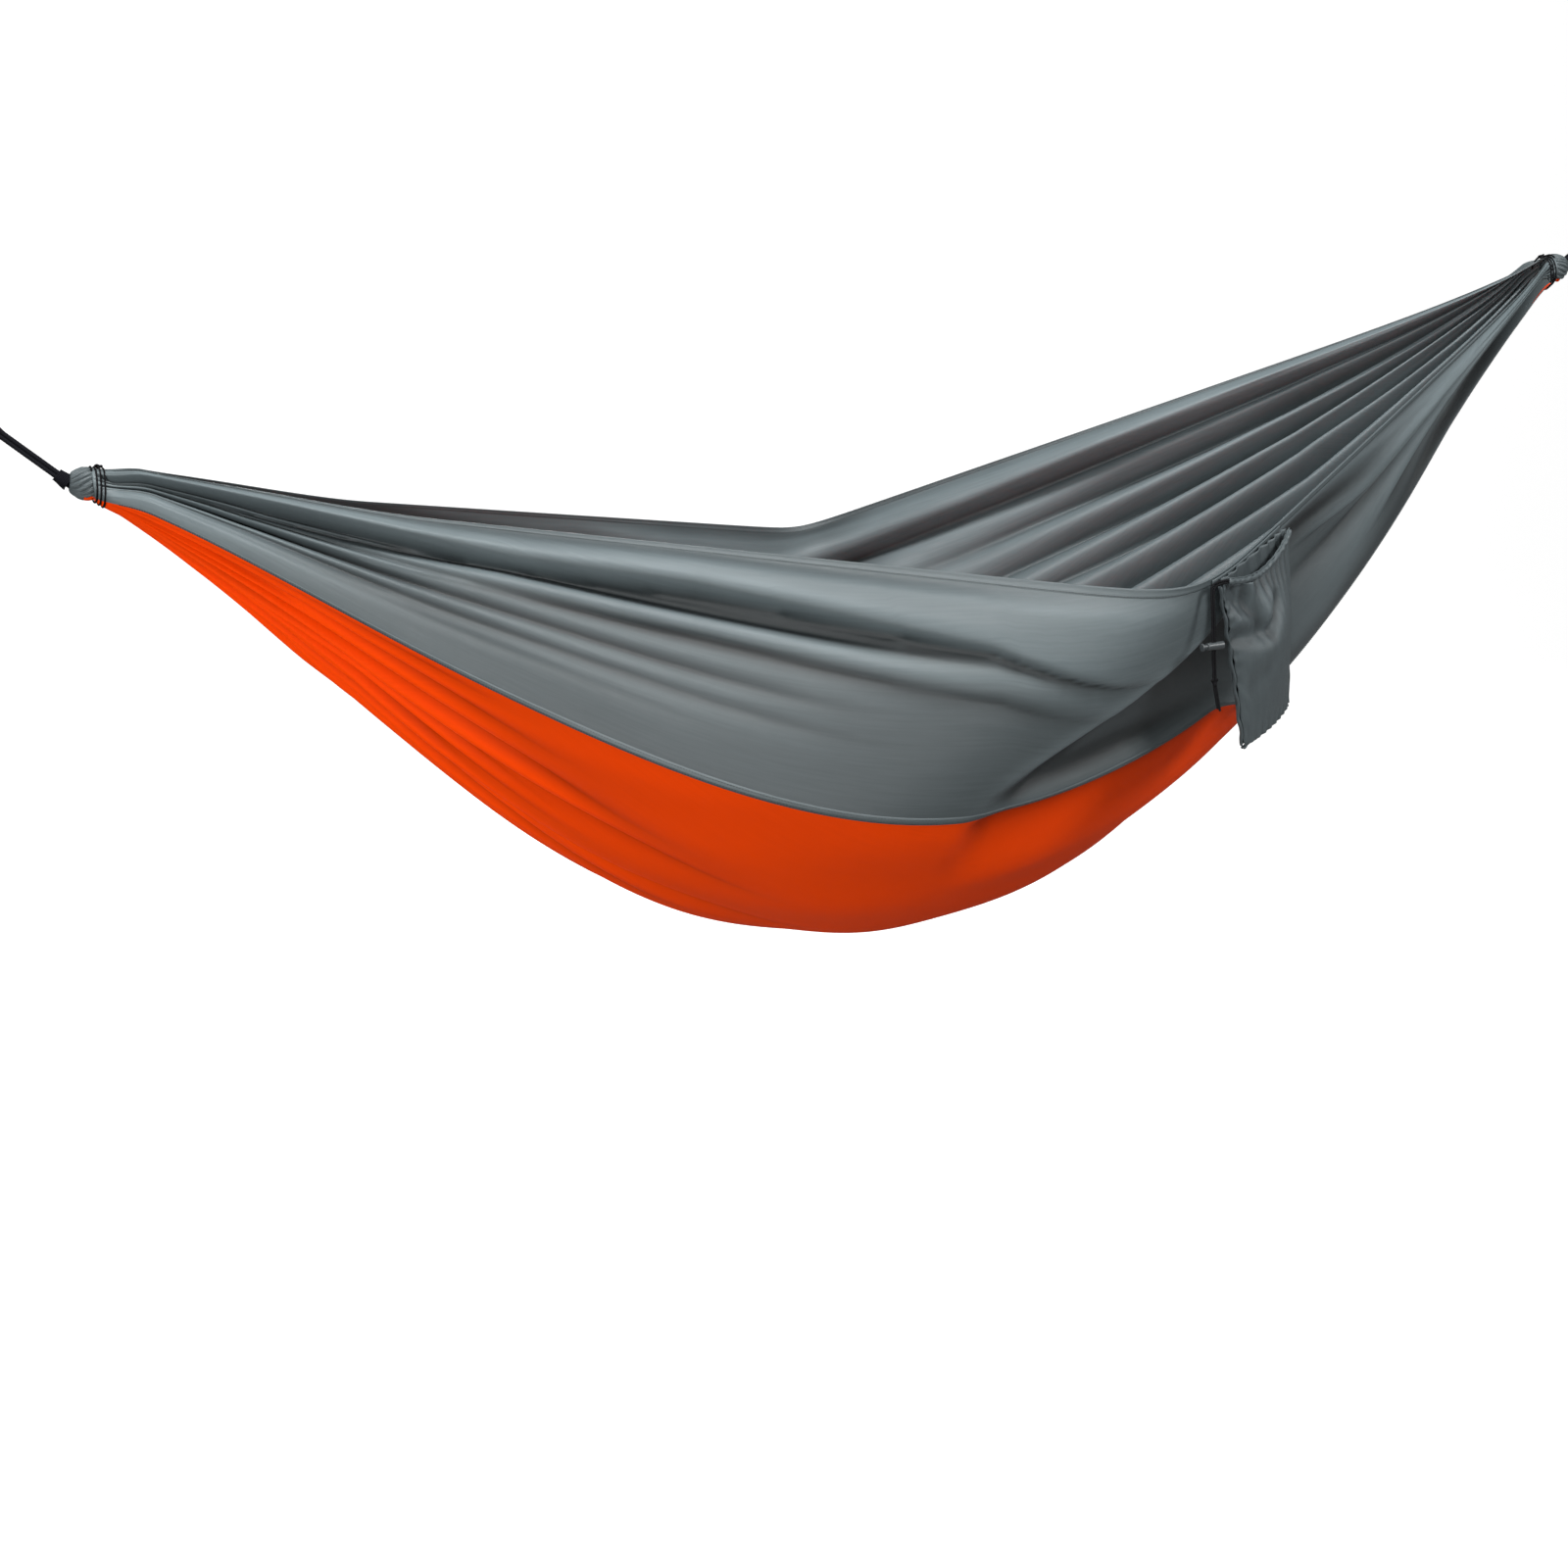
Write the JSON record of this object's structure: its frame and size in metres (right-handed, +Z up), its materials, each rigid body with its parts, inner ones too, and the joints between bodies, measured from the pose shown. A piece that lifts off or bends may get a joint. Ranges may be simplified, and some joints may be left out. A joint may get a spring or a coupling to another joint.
{
  "type": "camping hammock",
  "caption": "Double parachute-cloth camping hammock with gathered ends, rope end loops, steel carabiners and a drawstring stuff sack on its near edge.",
  "frame": {"origin": "the left hang point: where a tree strap bears on the inside of the left carabiner's outer bow", "axes": "+X along the hammock to the right hang point, -Y the side with the stuff sack, +Z up"},
  "size_m": [2.7641, 1.6324, 1.0333],
  "materials": {
    "orange_taffeta": "satin",
    "grey_taffeta": "satin",
    "black_cord": "matte",
    "black_rope": "matte",
    "grey_plastic": "satin",
    "steel": "satin"
  },
  "bodies": {
    "bed": {"centre_panel": "orange_taffeta", "near_side_panel": "grey_taffeta", "far_side_panel": "grey_taffeta", "near_seam": "grey_taffeta", "far_seam": "grey_taffeta", "near_edge_hem": "grey_taffeta", "far_edge_hem": "grey_taffeta", "left_end_channel": "grey_taffeta", "right_end_channel": "grey_taffeta", "left_whipping": "black_cord", "right_whipping": "black_cord", "left_end_loop": "black_rope", "right_end_loop": "black_rope", "left_loop_collar": "black_rope", "right_loop_collar": "black_rope", "sack_hem_tape": "grey_taffeta"},
    "left_carabiner": {"left_carabiner_frame": "steel", "left_gate_rivet": "steel"},
    "left_gate": {"left_carabiner_gate": "steel", "left_gate_spring": "steel"},
    "right_carabiner": {"right_carabiner_frame": "steel", "right_gate_rivet": "steel"},
    "right_gate": {"right_carabiner_gate": "steel", "right_gate_spring": "steel"},
    "stuff_sack": {"sack_back_panel": "grey_taffeta", "sack_front_panel": "grey_taffeta", "sack_mouth_channel": "grey_taffeta", "sack_left_binding": "grey_taffeta", "sack_right_binding": "grey_taffeta", "sack_bottom_binding": "grey_taffeta", "drawcord_in_channel": "black_cord", "drawcord_strand_a": "black_cord", "drawcord_strand_b": "black_cord", "drawcord_knot": "black_cord"},
    "cord_lock": {"cord_lock_barrel": "grey_plastic", "cord_lock_spring": "steel"},
    "cord_lock_button": {"cord_lock_plunger": "grey_plastic"}
  },
  "joints": [
    {"name": "left_carabiner_swing", "type": "hinge", "parent": "bed", "child": "left_carabiner", "pos_m": [0.04827, 0, -0.04501], "axis": [0, 1, 0], "range_deg": [-100, 100]},
    {"name": "left_gate_open", "type": "hinge", "parent": "left_carabiner", "child": "left_gate", "pos_m": [0.03364, -0.016, -0.03137], "axis": [-0.682, 0, -0.7314], "range_deg": [0, 24], "stiffness_Nm_per_rad": 0.12, "springref_deg": -20.05, "deforming": ["left_gate_spring"]},
    {"name": "right_carabiner_swing", "type": "hinge", "parent": "bed", "child": "right_carabiner", "pos_m": [2.70201, 0, 0.08499], "axis": [0, 1, 0], "range_deg": [-100, 100]},
    {"name": "right_gate_open", "type": "hinge", "parent": "right_carabiner", "child": "right_gate", "pos_m": [2.71664, -0.016, 0.09863], "axis": [-0.682, 0, 0.7314], "range_deg": [0, 24], "stiffness_Nm_per_rad": 0.12, "springref_deg": -20.05, "deforming": ["right_gate_spring"]},
    {"name": "stuff_sack_flip", "type": "hinge", "parent": "bed", "child": "stuff_sack", "pos_m": [1.46136, -0.79739, -0.3129], "axis": [-0.8218, -0.532, -0.204], "range_deg": [0, 110]},
    {"name": "cord_lock_slide", "type": "slide", "parent": "stuff_sack", "child": "cord_lock", "axis": [0, 0, 1], "range_m": [-0.03, 0.04]},
    {"name": "cord_lock_press", "type": "slide", "parent": "cord_lock", "child": "cord_lock_button", "axis": [1, 0, 0], "range_m": [0, 0.0035], "stiffness_N_per_m": 400, "springref_m": -0.002, "deforming": ["cord_lock_spring"]}
  ]
}
